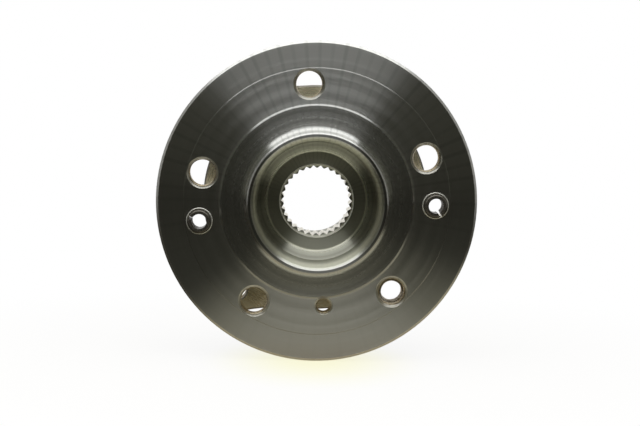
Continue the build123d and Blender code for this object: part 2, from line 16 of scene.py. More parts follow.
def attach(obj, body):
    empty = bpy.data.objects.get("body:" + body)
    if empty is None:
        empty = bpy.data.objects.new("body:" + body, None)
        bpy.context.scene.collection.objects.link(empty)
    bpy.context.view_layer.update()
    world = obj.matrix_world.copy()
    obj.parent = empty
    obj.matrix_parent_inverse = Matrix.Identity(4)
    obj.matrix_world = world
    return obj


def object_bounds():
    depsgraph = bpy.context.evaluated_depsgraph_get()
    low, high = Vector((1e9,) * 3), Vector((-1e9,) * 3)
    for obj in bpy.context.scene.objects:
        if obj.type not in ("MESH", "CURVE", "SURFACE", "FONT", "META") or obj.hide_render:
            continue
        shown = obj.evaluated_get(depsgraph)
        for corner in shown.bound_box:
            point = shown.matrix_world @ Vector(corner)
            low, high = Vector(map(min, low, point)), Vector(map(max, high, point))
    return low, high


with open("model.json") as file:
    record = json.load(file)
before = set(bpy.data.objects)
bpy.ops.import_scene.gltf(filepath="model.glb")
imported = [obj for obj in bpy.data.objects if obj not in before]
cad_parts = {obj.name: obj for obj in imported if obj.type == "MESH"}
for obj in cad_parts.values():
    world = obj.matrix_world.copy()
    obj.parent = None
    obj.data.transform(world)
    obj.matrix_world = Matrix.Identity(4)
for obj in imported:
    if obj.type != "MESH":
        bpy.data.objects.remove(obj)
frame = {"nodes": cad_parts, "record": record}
nodes = frame["nodes"]
cad_low, cad_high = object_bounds()
MM = 0.001
print(len(nodes), "solids, overall size in mm:", [round((h - l) / MM, 1) for l, h in zip(cad_low, cad_high)])

# %% [markdown]
# ## Small helpers for node trees
# A material is a tree of nodes. Wiring it by hand takes the same moves over and over: add a node, set what
# stays fixed, link what varies, do a sum. With a helper for each move, a finish below reads as a list of
# what it is made of, and its numbers stand out.


# %% Helpers: add a node, do sums
def add(tree, kind, links=None, **settings):
    """Adds a node, sets its fixed values and links or fills its inputs by name or number."""
    node = tree.nodes.new(kind)
    for name, value in settings.items():
        setattr(node, name, value)
    for socket, value in (links or {}).items():
        put(tree, node.inputs[socket], value)
    return node


def put(tree, socket, value):
    """Links an output to a socket, or writes a plain value into it."""
    if isinstance(value, bpy.types.NodeSocket):
        tree.links.new(value, socket)
    else:
        socket.default_value = value


def sums(tree, operation, *values):
    """One Math node; returns its result."""
    node = add(tree, "ShaderNodeMath", operation=operation)
    for socket, value in zip(node.inputs, values):
        put(tree, socket, value)
    return node.outputs[0]


def vectors(tree, operation, *values, scale=None):
    """One Vector Math node; returns its result, which is a number when it measures a length."""
    node = add(tree, "ShaderNodeVectorMath", operation=operation)
    for socket, value in zip(node.inputs, values):
        put(tree, socket, value)
    if scale is not None:
        put(tree, node.inputs["Scale"], scale)
    return node.outputs["Value" if operation == "LENGTH" else "Vector"]


def step_between(tree, value, low, high, out_low=0.0, out_high=1.0):
    """A soft step: out_low below low, out_high above high, smooth in between."""
    node = add(tree, "ShaderNodeMapRange", interpolation_type="SMOOTHSTEP")
    for socket, item in zip(node.inputs, (value, low, high, out_low, out_high)):
        put(tree, socket, item)
    return node.outputs[0]


def blend_colours(tree, mask, first, second, how="MIX"):
    """A colour that goes from the first to the second as the mask goes from 0 to 1."""
    node = add(tree, "ShaderNodeMix", data_type="RGBA", blend_type=how)
    put(tree, node.inputs["Factor"], mask)
    put(tree, node.inputs["A"], first if isinstance(first, bpy.types.NodeSocket) else (*first, 1.0))
    put(tree, node.inputs["B"], second if isinstance(second, bpy.types.NodeSocket) else (*second, 1.0))
    return node.outputs["Result"]


print("helpers:", ", ".join(f.__name__ for f in (add, put, sums, vectors, step_between, blend_colours)))

# %% [markdown]
# ## Where a point is, and which way it faces
# Every finish here depends on the spin axis, which is Y: how far out a point is, how far along, and which
# way its surface looks. Texture Coordinate gives the place and the normal in the piece's own space, so a
# finish stays on its piece when the hub turns.


# %% Helpers: place, facing, node groups
def place_of(tree):
    """The place of each point of the surface, and the same as three numbers."""
    place = add(tree, "ShaderNodeTexCoord").outputs["Object"]
    return place, add(tree, "ShaderNodeSeparateXYZ", {"Vector": place}).outputs


def radius_and_axial(tree):
    """The distance from the spin axis, and the place along it, of each point of the surface."""
    split = place_of(tree)[1]
    across = sums(tree, "MULTIPLY", split["X"], split["X"])
    up = sums(tree, "MULTIPLY", split["Z"], split["Z"])
    return sums(tree, "SQRT", sums(tree, "ADD", across, up)), split["Y"]


def towards_back(tree):
    """-1 where the surface faces the wheel, 0 on a wall along the axis, 1 where it faces the knuckle."""
    normal = add(tree, "ShaderNodeTexCoord").outputs["Normal"]
    return add(tree, "ShaderNodeSeparateXYZ", {"Vector": normal}).outputs["Y"]


def new_group(name, inputs, outputs):
    """An empty node group with named float inputs and outputs."""
    group = bpy.data.node_groups.new(name, "ShaderNodeTree")
    for socket, default in inputs.items():
        made = group.interface.new_socket(name=socket, in_out="INPUT", socket_type="NodeSocketFloat")
        made.default_value = default
    for socket in outputs:
        group.interface.new_socket(name=socket, in_out="OUTPUT", socket_type="NodeSocketFloat")
    print("group", name, "takes", list(inputs), "and gives", list(outputs))
    return group, group.nodes.new("NodeGroupInput").outputs, group.nodes.new("NodeGroupOutput").inputs


print("place and facing helpers ready")

# %% [markdown]
# ## Shared effects as node groups
# A lathe leaves fine rings round the spin axis. On a face they run at one radius, on a wall at one place
# along the axis, so one number that mixes radius and axial place picks out the rings on both. Noise along
# that single number makes rings of uneven depth, which is how real turning marks look; a wave would be too
# regular.

# %% Node group: turning marks
AXIAL_SHARE = 0.83  # how much the axial place counts beside the radius; not 1, so slopes have rings too


def make_turning_marks():
    """Rings left by the lathe: a fine height for bump, and broad bands for colour and roughness."""
    sizes = {"Feed": 0.3 * MM, "Band": 3 * MM}
    group, given, result = new_group("turning_marks", sizes, ("Height", "Bands"))
    radius, axial = radius_and_axial(group)
    along = sums(group, "SUBTRACT", radius, sums(group, "MULTIPLY", axial, AXIAL_SHARE))
    for size, output, detail in (("Feed", "Height", 1.0), ("Band", "Bands", 4.0)):
        count = sums(group, "DIVIDE", along, given[size])
        noise = add(group, "ShaderNodeTexNoise", {"W": count, "Scale": 1.0, "Detail": detail},
                    noise_dimensions="1D")
        put(group, result[output], noise.outputs["Fac"])
    return group


turning_marks = make_turning_marks()

# %% [markdown]
# Oil, handling and storage leave a film that is thicker in some places than in others. It changes gloss
# more than colour. Broad noise, with finer noise on its edges, is enough, and the same film goes on every
# metal.


# %% Node group: oil film
def make_oil_film():
    """Broad uneven patches for gloss, with a little fine mottle in them."""
    group, given, result = new_group("oil_film", {"Patch": 30 * MM, "Mottle": 2 * MM}, ("Patches", "Mottle"))
    place = place_of(group)[0]
    for size, output, detail in (("Patch", "Patches", 3.0), ("Mottle", "Mottle", 2.0)):
        scale = sums(group, "DIVIDE", 1.0, given[size])
        noise = add(group, "ShaderNodeTexNoise", {"Vector": place, "Scale": scale, "Detail": detail})
        put(group, result[output], noise.outputs["Fac"])
    return group


oil_film = make_oil_film()

# %% [markdown]
# A forged or moulded skin is uneven at several sizes at once. Three noises, each finer and shallower than
# the last, are added into one height, and the broadest of them also mottles the colour.

# %% Node group: skin grain
GRAIN_SHARES = (0.6, 0.28, 0.12)  # how much each noise adds, from the broadest to the finest


def make_skin_grain():
    """Uneven skin of a forging or moulding: a height, and a mottle for the colour."""
    group, given, result = new_group("skin_grain", {"Size": 2 * MM, "Fineness": 5.0}, ("Height", "Mottle"))
    place = place_of(group)[0]
    scale = sums(group, "DIVIDE", 1.0, given["Size"])
    height = 0.0
    for share in GRAIN_SHARES:
        noise = add(group, "ShaderNodeTexNoise", {"Vector": place, "Scale": scale, "Detail": 2.0})
        if share == GRAIN_SHARES[0]:
            put(group, result["Mottle"], noise.outputs["Fac"])
        height = sums(group, "MULTIPLY_ADD", noise.outputs["Fac"], share, height)
        scale = sums(group, "MULTIPLY", scale, given["Fineness"])
    put(group, result["Height"], height)
    return group


skin_grain = make_skin_grain()

# %% [markdown]
# A face cut at speed also carries faint spokes, where the tool trembled against the work. Here the spokes
# also paint the dark streaks in a lamp's reflection, so they are strong on the upper side of the face and
# faint below it: part chatter, part painted reflection. They are thin and evenly spaced, so a cosine of the
# angle round the axis gives them; a whole number of them closes the circle. Noise along a circle makes some
# spokes fainter than others.

# %% Node group: chatter spokes and painted reflection streaks
SPOKES_ROUND = 72.0
# the upper side carries the spokes as painted reflection streaks
LOWER_SIDE_SHARE = 0.15  # how much is left of the spokes on the quiet side of the face


def make_chatter_and_streaks():
    """Faint spokes, strong on the upper side, where they paint reflection streaks: 1 on a spoke, 0 between
    them; Count is how many go round, a whole number.
    """
    group, given, result = new_group("chatter_and_streaks", {"Count": SPOKES_ROUND}, ("Spokes",))
    split = place_of(group)[1]
    angle = sums(group, "ARCTAN2", split["Z"], split["X"])
    wave = sums(group, "COSINE", sums(group, "MULTIPLY", angle, given["Count"]))
    height = sums(group, "SINE", angle)
    ring = add(group, "ShaderNodeCombineXYZ", {"X": sums(group, "COSINE", angle), "Y": height})
    noise = add(group, "ShaderNodeTexNoise", {"Vector": ring.outputs[0], "Scale": 9.0, "Detail": 2.0})
    share = step_between(group, noise.outputs["Fac"], 0.35, 0.65, 0.3, 1.0)
    side = step_between(group, height, -0.5, 0.5, LOWER_SIDE_SHARE, 1.0)
    line = sums(group, "MULTIPLY", step_between(group, wave, 0.3, 1.0), side)
    put(group, result["Spokes"], sums(group, "MULTIPLY", line, share))
    return group


chatter_and_streaks = make_chatter_and_streaks()

# %% [markdown]
# The zones of a turned forging differ: a fine cut here, a coarse one there, bright chamfers, drilled holes.
# Two things tell them apart: how far a point is from the axis, and which way its surface faces. This group
# sorts surfaces by the way they face.

# %% Node group: ways of facing
SLANT = (0.45, 0.90)  # how far the normal leans towards the axis on a chamfer; 0 on a wall, 1 on a face
WALL_LEAN = (0.15, 0.35)  # a wall has turned into a chamfer between these
BACK_LEAN = (0.05, 0.2)


def inside_band(tree, value, low, high, soft=0.2 * MM):
    """1 between low and high, 0 outside, soft at both ends."""
    above = step_between(tree, value, low - soft, low + soft)
    below = step_between(tree, value, high - soft, high + soft, 1.0, 0.0)
    return sums(tree, "MULTIPLY", above, below)


def make_facing():
    """Masks by facing: Front is all but the back faces, Chamfer at a slant, Wall along the axis."""
    group, _, result = new_group("facing", {}, ("Front", "Chamfer", "Wall"))
    towards = towards_back(group)
    lean = sums(group, "ABSOLUTE", towards)
    put(group, result["Front"], step_between(group, towards, *BACK_LEAN, 1.0, 0.0))
    put(group, result["Chamfer"], inside_band(group, lean, *SLANT, soft=0.04))
    put(group, result["Wall"], step_between(group, lean, *WALL_LEAN, 1.0, 0.0))
    return group


facing = make_facing()

# %% [markdown]
# ## What every material needs
# Each finish starts from a Principled BSDF, places the groups it wants with its own numbers, and turns a
# height into a bump. A number that is the same all over goes straight into the shader's socket.


# %% Helpers: material, group, bump
def new_material(name, **fixed):
    """A material, its node tree and its Principled BSDF's inputs; fixed values are set at once."""
    material = bpy.data.materials.new(name)
    material.use_nodes = True
    inputs = material.node_tree.nodes["Principled BSDF"].inputs
    for socket, value in fixed.items():
        inputs[socket.replace("_", " ")].default_value = value
    print("finish", name)
    return material, material.node_tree, inputs


def use_group(tree, group, **values):
    """Places a group in a material with its own values."""
    node = add(tree, "ShaderNodeGroup", node_tree=group)
    for name, value in values.items():
        node.inputs[name].default_value = value
    return node.outputs


def bump(tree, height, distance):
    """Turns a height from 0 to 1 into a normal; distance is the full height in metres."""
    node = add(tree, "ShaderNodeBump", {"Height": height, "Distance": distance, "Strength": 1.0})
    return node.outputs["Normal"]


print("material helpers ready")

# %% [markdown]
# ## Two helpers for turned work
# A turner's work plan gives each zone of a face its own cut. A colour ramp over the radius does the same:
# it holds one number for each zone, from the axis outwards. The second helper gives the way in which the
# tool's marks run. That is round the spin axis on a face. On the wall of a hole it is round the hole, and a
# vector square to both the normal and the axis points that way on every wall.


# %% Helpers: zones by radius, run of the marks
def by_radius(tree, radius, plan):
    """A ramp over the radius; plan is (radius in mm, number) pairs, and the numbers run from 0 to 2."""
    outermost = plan[-1][0]
    ramp = add(tree, "ShaderNodeValToRGB", {"Fac": sums(tree, "DIVIDE", radius, outermost * MM)})
    stops = ramp.color_ramp.elements
    for number, (place, value) in enumerate(plan):
        stop = stops[number] if number < 2 else stops.new(1.0)
        stop.position = place / outermost
        stop.color = (value / 2, value / 2, value / 2, 1.0)
    return sums(tree, "MULTIPLY", ramp.outputs["Color"], 2.0)


NORMAL_WEIGHT = 10.0  # the normal outweighs the place, in metres, on a wall


def round_the_axis(tree):
    """The way a tool's marks run: round the spin axis on a face, and round each wall or hole on its wall."""
    texture = add(tree, "ShaderNodeTexCoord").outputs
    lean = sums(tree, "ABSOLUTE", towards_back(tree))
    weight = step_between(tree, lean, 0.90, 0.97, NORMAL_WEIGHT, 0.0)
    outward = vectors(tree, "SCALE", texture["Normal"], scale=weight)
    return vectors(tree, "CROSS_PRODUCT", vectors(tree, "ADD", texture["Object"], outward), (0.0, 1.0, 0.0))


QUARTER_TURN = 0.25  # turns the spread of light across the marks
print("turned-work helpers ready")

# %% [markdown]
# ## The zones of the hub's face
# The hub is a forging that is turned all over, and each zone has its own tone and gloss. The raised centre
# and the recess are cut finer. The tone plan also paints bright highlight rings on the chamfers, walls and
# edges. Separate materials would need the mesh cut up; two plans over the radius leave it as it is and keep
# all the numbers in one place.

# %% Plan of the hub's zones
# tones above 1 on chamfers, walls, edges and the fillet are painted highlight rings; the rest is each zone's
# own tone
TONE_AND_HIGHLIGHT_PLAN = (  # radius in mm, how bright the steel is beside its plain colour
    (0.0, 0.6), (16.7, 0.6),  # front ends of the spline's teeth
    (16.9, 1.8), (17.4, 1.8),  # chamfer at the spline's mouth
    (17.6, 0.95), (23.4, 0.88),  # floor of the nut recess
    (23.6, 1.8), (24.1, 1.8),  # edge of the floor
    (24.4, 0.95), (26.2, 0.80), (26.8, 0.62), (28.2, 0.85),  # funnel round the floor
    (29.0, 1.2), (29.4, 1.8), (31.3, 1.75),  # recess wall and the chamfer at its mouth
    (31.5, 0.55), (32.5, 0.55),  # end of the spigot
    (32.7, 1.45), (33.9, 1.4),  # outer chamfer and wall of the spigot
    (36.2, 1.15),  # fillet at its foot
    (36.5, 1.0), (45.7, 0.96),  # raised centre
    (46.1, 1.2), (46.8, 1.2),  # chamfered edge of the raised centre
    (47.0, 1.0), (75.2, 0.98),  # mounting face and the rim's relief
    (75.5, 1.8), (77.0, 1.8))  # chamfer of the rim
GLOSS_PLAN = (  # radius in mm, roughness
    (0.0, 0.30), (16.4, 0.40),  # spline
    (17.5, 0.31), (23.4, 0.31),  # floor of the nut recess
    (24.0, 0.36), (24.5, 0.28), (28.2, 0.30),  # its edge and the funnel
    (29.4, 0.42), (31.3, 0.36), (31.5, 0.42), (33.3, 0.34),  # recess wall, chamfers and end of the spigot
    (34.0, 0.28), (36.5, 0.24), (45.5, 0.24),  # fillet and raised centre
    (45.8, 0.34), (46.6, 0.30), (75.2, 0.30),  # its edge, mounting face, relief
    (75.6, 0.42), (77.0, 0.42))  # chamfer of the rim
print(len(TONE_AND_HIGHLIGHT_PLAN), "tones and", len(GLOSS_PLAN), "roughnesses from the axis to the rim")

# %% [markdown]
# ## The hub's turned steel
# The turning marks run round the axis, so light is spread across them and not along them, and a lamp shows
# as a bright fan that narrows to the middle. Anisotropy does that: the tangent follows the marks, and the
# rotation of a quarter turn sends the spread across them. Drilled walls, countersinks and the splined bore
# are picked out by radius and facing; the countersinks are paler than the steel, a painted highlight. A
# yellow tint over the recess paints the warm reflection from below.

# %% Material: turned hub steel
HOLE_BAND = (46.6 * MM, 66.0 * MM)  # all the hub's holes are in this ring
RELIEF_EDGE = 63.55 * MM  # radius of the small step to the rim's relief, which isn't a countersink
SPLINE_EDGE = (17.4 * MM, 17.6 * MM)
WARM_TINTED_RECESS = (30.0 * MM, 31.5 * MM)  # the painted warm tint ends between these radii
# yellow tint in the recess: painted warm reflection of the light from below
RECESS_WARM_TINT = (1.0, 1.0, 0.89)
SPOKE_DEPTH = 0.15
DARK_BAND, LIGHT_BAND = (0.44, 0.445, 0.43), (0.53, 0.53, 0.51)
FILMED, BACK_STEEL = (0.48, 0.475, 0.45), (0.50, 0.50, 0.485)
# the countersinks' colour is paler than the steel: a painted highlight
DRILLED, COUNTERSINK_HIGHLIGHT, BROACHED = (0.80, 0.73, 0.58), (0.94, 0.92, 0.84), (0.94, 0.90, 0.79)
MOTTLE_DULLS, COUNTERSINK_DULLS = 0.03, 0.25  # added to the roughness
REAMED_GLOSS = 0.5  # share of the roughness that reaming and broaching take off


def hub_masks(tree, radius, faces):
    """Drilled walls, countersinks, and the walls of the splined bore."""
    holes = inside_band(tree, radius, *HOLE_BAND)
    drilled = sums(tree, "MULTIPLY", faces["Wall"], holes)
    off_the_step = step_between(
        tree, sums(tree, "ABSOLUTE", sums(tree, "SUBTRACT", radius, RELIEF_EDGE)), 0.2 * MM, 0.4 * MM)
    countersunk = sums(tree, "MULTIPLY", sums(tree, "MULTIPLY", faces["Chamfer"], holes), off_the_step)
    bore = sums(tree, "MULTIPLY", faces["Wall"], step_between(tree, radius, *SPLINE_EDGE, 1.0, 0.0))
    return drilled, countersunk, bore


def make_hub_steel():
    material, tree, shader = new_material(
        "turned_hub_steel", Metallic=1.0, Anisotropic=0.95, Anisotropic_Rotation=QUARTER_TURN)
    marks = use_group(tree, turning_marks, Feed=0.4 * MM, Band=3.5 * MM)
    film = use_group(tree, oil_film, Patch=35 * MM, Mottle=1.2 * MM)
    spokes = use_group(tree, chatter_and_streaks, Count=SPOKES_ROUND)["Spokes"]
    faces = use_group(tree, facing)
    radius = radius_and_axial(tree)[0]
    drilled, countersunk, bore = hub_masks(tree, radius, faces)

    # the zones' tones, with painted highlight rings on the chamfers and edges
    tone = by_radius(tree, radius, TONE_AND_HIGHLIGHT_PLAN)
    # darkens the tone along the spokes: chatter marks, and on the upper side painted reflection streaks
    tone = sums(tree, "MULTIPLY", tone, sums(tree, "MULTIPLY_ADD", spokes, -SPOKE_DEPTH, 1.0))
    steel = blend_colours(tree, marks["Bands"], DARK_BAND, LIGHT_BAND)
    steel = blend_colours(tree, film["Patches"], steel, FILMED)
    toned = vectors(tree, "SCALE", steel, scale=tone)
    # yellow tint over the recess: painted warm reflection
    warm_tinted = step_between(tree, radius, *WARM_TINTED_RECESS, 1.0, 0.0)
    toned = blend_colours(tree, warm_tinted, toned, RECESS_WARM_TINT, how="MULTIPLY")
    steel = blend_colours(tree, faces["Front"], BACK_STEEL, toned)
    steel = blend_colours(tree, drilled, steel, DRILLED)
    # painted highlight on the countersinks
    steel = blend_colours(tree, countersunk, steel, COUNTERSINK_HIGHLIGHT)
    put(tree, shader["Base Color"], blend_colours(tree, bore, steel, BROACHED))

    uneven = step_between(tree, marks["Bands"], 0.3, 0.7, -0.03, 0.03)
    rough = sums(tree, "ADD", by_radius(tree, radius, GLOSS_PLAN), uneven)
    rough = sums(tree, "MULTIPLY_ADD", film["Mottle"], MOTTLE_DULLS, rough)
    rough = sums(tree, "MULTIPLY_ADD", countersunk, COUNTERSINK_DULLS, rough)
    reamed = sums(tree, "MULTIPLY_ADD", sums(tree, "MAXIMUM", drilled, bore), -REAMED_GLOSS, 1.0)
    put(tree, shader["Roughness"], sums(tree, "MULTIPLY", rough, reamed))
    put(tree, shader["Tangent"], round_the_axis(tree))
    put(tree, shader["Normal"], bump(tree, marks["Height"], 0.004 * MM))
    return material


finishes = {"hub_steel": make_hub_steel()}

# %% [markdown]
# ## Ground steel and polished balls
# Races, inner ring and seal lands are ground, which leaves very fine rings. The balls are lapped until no
# mark is left, so they have no direction at all, only a thin film of oil that dulls them in patches.


# %% Material: ground bearing steel and polished balls
def make_bearing_steel():
    material, tree, shader = new_material(
        "ground_bearing_steel", Metallic=1.0, Anisotropic=0.7, Anisotropic_Rotation=QUARTER_TURN)
    marks = use_group(tree, turning_marks, Feed=0.12 * MM, Band=1.5 * MM)
    film = use_group(tree, oil_film, Patch=20 * MM, Mottle=1.5 * MM)
    steel = blend_colours(tree, marks["Bands"], (0.55, 0.55, 0.54), (0.63, 0.63, 0.61))
    put(tree, shader["Base Color"], blend_colours(tree, film["Patches"], steel, (0.56, 0.54, 0.50)))
    put(tree, shader["Roughness"], step_between(tree, film["Patches"], 0.35, 0.65, 0.26, 0.36))
    put(tree, shader["Tangent"], round_the_axis(tree))
    put(tree, shader["Normal"], bump(tree, marks["Height"], 0.001 * MM))
    return material


def make_ball_steel():
    material, tree, shader = new_material("polished_ball_steel", Metallic=1.0)
    film = use_group(tree, oil_film, Patch=6 * MM, Mottle=0.8 * MM)
    steel = blend_colours(tree, film["Patches"], (0.74, 0.74, 0.74), (0.66, 0.65, 0.62))
    put(tree, shader["Base Color"], steel)
    put(tree, shader["Roughness"], step_between(tree, film["Patches"], 0.35, 0.7, 0.07, 0.16))
    return material


finishes["bearing_steel"] = make_bearing_steel()
finishes["ball_steel"] = make_ball_steel()

# %% [markdown]
# ## The forged outer ring
# The outer ring keeps its dark forging skin on the edges of the flange and is turned where it seats. A mask
# from the radius and from the way the surface faces separates the two, and a pebbled grain goes on the skin
# only. The turned faces towards the wheel are paler, warmer and glossier than the rest.

# %% Material: forged outer ring
SKIN_FROM = (47.2 * MM, 47.4 * MM)  # past this radius the flange's edges are as forged
LATHE_SHARE = 0.03  # depth of the lathe's rings beside the skin's grain
WHEEL_SIDE_GLOSS = 0.17  # how much smoother the faces towards the wheel are


def make_ring_steel():
    material, tree, shader = new_material(
        "forged_ring_steel", Metallic=1.0, Anisotropic=0.95, Anisotropic_Rotation=QUARTER_TURN)
    marks = use_group(tree, turning_marks, Feed=0.3 * MM, Band=3 * MM)
    grain = use_group(tree, skin_grain, Size=2.2 * MM, Fineness=4.0)
    film = use_group(tree, oil_film, Patch=30 * MM, Mottle=1.5 * MM)
    towards = towards_back(tree)
    edge = step_between(tree, sums(tree, "ABSOLUTE", towards), 0.6, 0.9, 1.0, 0.0)
    skin = sums(tree, "MULTIPLY", step_between(tree, radius_and_axial(tree)[0], *SKIN_FROM), edge)
    # faces towards the wheel: paler, warmer and glossier
    towards_wheel = step_between(tree, towards, -0.8, -0.5, 1.0, 0.0)

    clean = blend_colours(tree, marks["Bands"], (0.50, 0.50, 0.48), (0.60, 0.60, 0.57))
    warm_tinted = blend_colours(tree, marks["Bands"], (0.70, 0.65, 0.48), (0.84, 0.78, 0.60))
    turned = blend_colours(tree, towards_wheel, clean, warm_tinted)
    dark = blend_colours(tree, grain["Mottle"], (0.13, 0.125, 0.12), (0.21, 0.20, 0.19))
    put(tree, shader["Base Color"], blend_colours(tree, skin, turned, dark))

    bare = sums(tree, "SUBTRACT", 1.0, skin)
    rough = step_between(tree, marks["Bands"], 0.3, 0.7, 0.38, 0.48)
    rough = sums(tree, "MULTIPLY_ADD", towards_wheel, -WHEEL_SIDE_GLOSS, rough)
    rough_skin = step_between(tree, film["Mottle"], 0.3, 0.7, 0.50, 0.62)
    rough_skin = sums(tree, "MULTIPLY", rough_skin, skin)
    put(tree, shader["Roughness"], sums(tree, "MULTIPLY_ADD", rough, bare, rough_skin))
    put(tree, shader["Tangent"], round_the_axis(tree))
    lathe = sums(tree, "MULTIPLY", marks["Height"], sums(tree, "MULTIPLY", bare, LATHE_SHARE))
    height = sums(tree, "MULTIPLY_ADD", grain["Height"], skin, lathe)
    put(tree, shader["Normal"], bump(tree, height, 0.15 * MM))
    return material


finishes["ring_steel"] = make_ring_steel()

# %% [markdown]
# ## Small steel pieces
# The two sleeves that locate the brake disc are rolled from spring strip and dark with phosphate and oil.
# The seal's carriers are pressed from bright sheet, which keeps faint rings from the press tool.


# %% Material: phosphated sleeves, stamped seal steel
def make_sleeve_steel():
    material, tree, shader = new_material("phosphated_sleeve_steel", Metallic=1.0)
    grain = use_group(tree, skin_grain, Size=0.6 * MM, Fineness=3.0)
    steel = blend_colours(tree, grain["Mottle"], (0.10, 0.095, 0.085), (0.22, 0.20, 0.17))
    put(tree, shader["Base Color"], steel)
    put(tree, shader["Roughness"], step_between(tree, grain["Mottle"], 0.3, 0.7, 0.34, 0.48))
    put(tree, shader["Normal"], bump(tree, grain["Height"], 0.01 * MM))
    return material


def make_seal_steel():
    material, tree, shader = new_material("stamped_seal_steel", Metallic=1.0)
    marks = use_group(tree, turning_marks, Feed=0.8 * MM, Band=4 * MM)
    film = use_group(tree, oil_film, Patch=12 * MM, Mottle=0.7 * MM)
    steel = blend_colours(tree, film["Patches"], (0.58, 0.57, 0.55), (0.48, 0.47, 0.44))
    put(tree, shader["Base Color"], steel)
    put(tree, shader["Roughness"], step_between(tree, film["Mottle"], 0.3, 0.7, 0.28, 0.38))
    put(tree, shader["Normal"], bump(tree, marks["Height"], 0.003 * MM))
    return material


finishes["sleeve_steel"] = make_sleeve_steel()
finishes["seal_steel"] = make_seal_steel()

# %% [markdown]
# ## Moulded pieces
# Cages are moulded in glass-filled polyamide, which dries to the colour of bone. The seal's rubber is
# nearly black, and the encoder ring is rubber filled with magnetic powder, so it is greyer. All three have
# the fine uneven skin of a mould, and one helper makes them from a few numbers.


# %% Material: polyamide, seal rubber, encoder rubber
def make_moulded(name, dark, light, rough, grain_size, depth):
    """A moulded part: a fine skin, slightly uneven in colour and gloss."""
    material, tree, shader = new_material(name)
    grain = use_group(tree, skin_grain, Size=grain_size, Fineness=4.0)
    film = use_group(tree, oil_film, Patch=10 * MM, Mottle=1 * MM)
    put(tree, shader["Base Color"], blend_colours(tree, grain["Mottle"], dark, light))
    put(tree, shader["Roughness"], step_between(tree, film["Patches"], 0.3, 0.7, rough - 0.06, rough + 0.06))
    put(tree, shader["Normal"], bump(tree, grain["Height"], depth))
    return material


finishes["cage_polyamide"] = make_moulded(
    "moulded_cage_polyamide", (0.60, 0.50, 0.32), (0.72, 0.62, 0.42), 0.42, 0.8 * MM, 0.01 * MM)
finishes["seal_rubber"] = make_moulded(
    "moulded_seal_rubber", (0.016, 0.016, 0.017), (0.030, 0.029, 0.028), 0.55, 0.5 * MM, 0.01 * MM)
finishes["encoder_rubber"] = make_moulded(
    "moulded_encoder_rubber", (0.035, 0.032, 0.030), (0.060, 0.056, 0.052), 0.50, 0.4 * MM, 0.008 * MM)

# %% [markdown]
# Every solid has one material slot, named in the record that comes with the frame. Each slot gets its
# finish.

# %% Put the finishes on the solids
slot_of = {part["node"]: part["material_slot"] for part in frame["record"]["subparts"]}
for name, piece in nodes.items():
    for material_slot in piece.material_slots:
        material_slot.material = finishes[slot_of[name]]
print(len(finishes), "finishes on", len(nodes), "solids")

# %% [markdown]
# ## Cut threads
# The solids have plain holes at the pitch diameter. On the real part these holes are tapped: five for the
# wheel bolts, one for the screw that holds the disc, and four in the ears of the outer ring. A thread is
# one ridge that winds along the wall. So its cross-section, a little trapezium, is spun round the hole and
# moved along by one pitch a turn. Near a mouth the countersink has cut the ridge away, so there each point
# is pushed out to the cone.

# %% Thread: the ridge of a 60 degree thread
STEPS_A_TURN = 32
SINK = 0.05 * MM  # how far the ridge's foot stands in the wall
FLANK = radians(30)
RIDGE_DEPTH = 0.217  # of the pitch: from the pitch diameter to the crest


def ridge_section(bm, wall, pitch):
    """The ridge's cross-section in the XY plane, ready to be spun round Y; its foot is sunk in the wall."""
    foot, crest = wall + SINK, wall - RIDGE_DEPTH * pitch
    half_foot = pitch / 4 + SINK * tan(FLANK)
    half_crest = pitch / 4 - RIDGE_DEPTH * pitch * tan(FLANK)
    corners = ((foot, -half_foot), (crest, -half_crest), (crest, half_crest), (foot, half_foot))
    verts = [bm.verts.new((x, y, 0.0)) for x, y in corners]
    return [*verts, *bm.edges, bm.faces.new(verts)]


print("a ridge has 4 corners and", STEPS_A_TURN, "steps a turn")

# %% [markdown]
# Every new piece is made in three moves: a bmesh is shaped, its faces are turned outwards and smoothed, and
# it becomes an object of its own. The last two moves are the same for all round pieces, so they are
# helpers. Recalculating the normals can be misled by the flattened end of a thread, and then the whole
# shell is inside out. Its volume is negative in that case, so the volume is asked as well.


# %% Helpers: from a bmesh to a piece, and the thread
def smooth_outside(bm):
    """Turns all faces of a closed shell outwards and shades them smooth."""
    bmesh.ops.recalc_face_normals(bm, faces=bm.faces)
    if bm.calc_volume(signed=True) < 0:
        bmesh.ops.reverse_faces(bm, faces=bm.faces)
    for face in bm.faces:
        face.smooth = True


def new_piece(name, bm):
    """Makes the bmesh an object of its own."""
    mesh = bpy.data.meshes.new(name)
    bm.to_mesh(mesh)
    bm.free()
    piece = bpy.data.objects.new(name, mesh)
    bpy.context.scene.collection.objects.link(piece)
    return piece


SPIN_AXIS = (0.0, 1.0, 0.0)
CENTRE = (0.0, 0.0, 0.0)


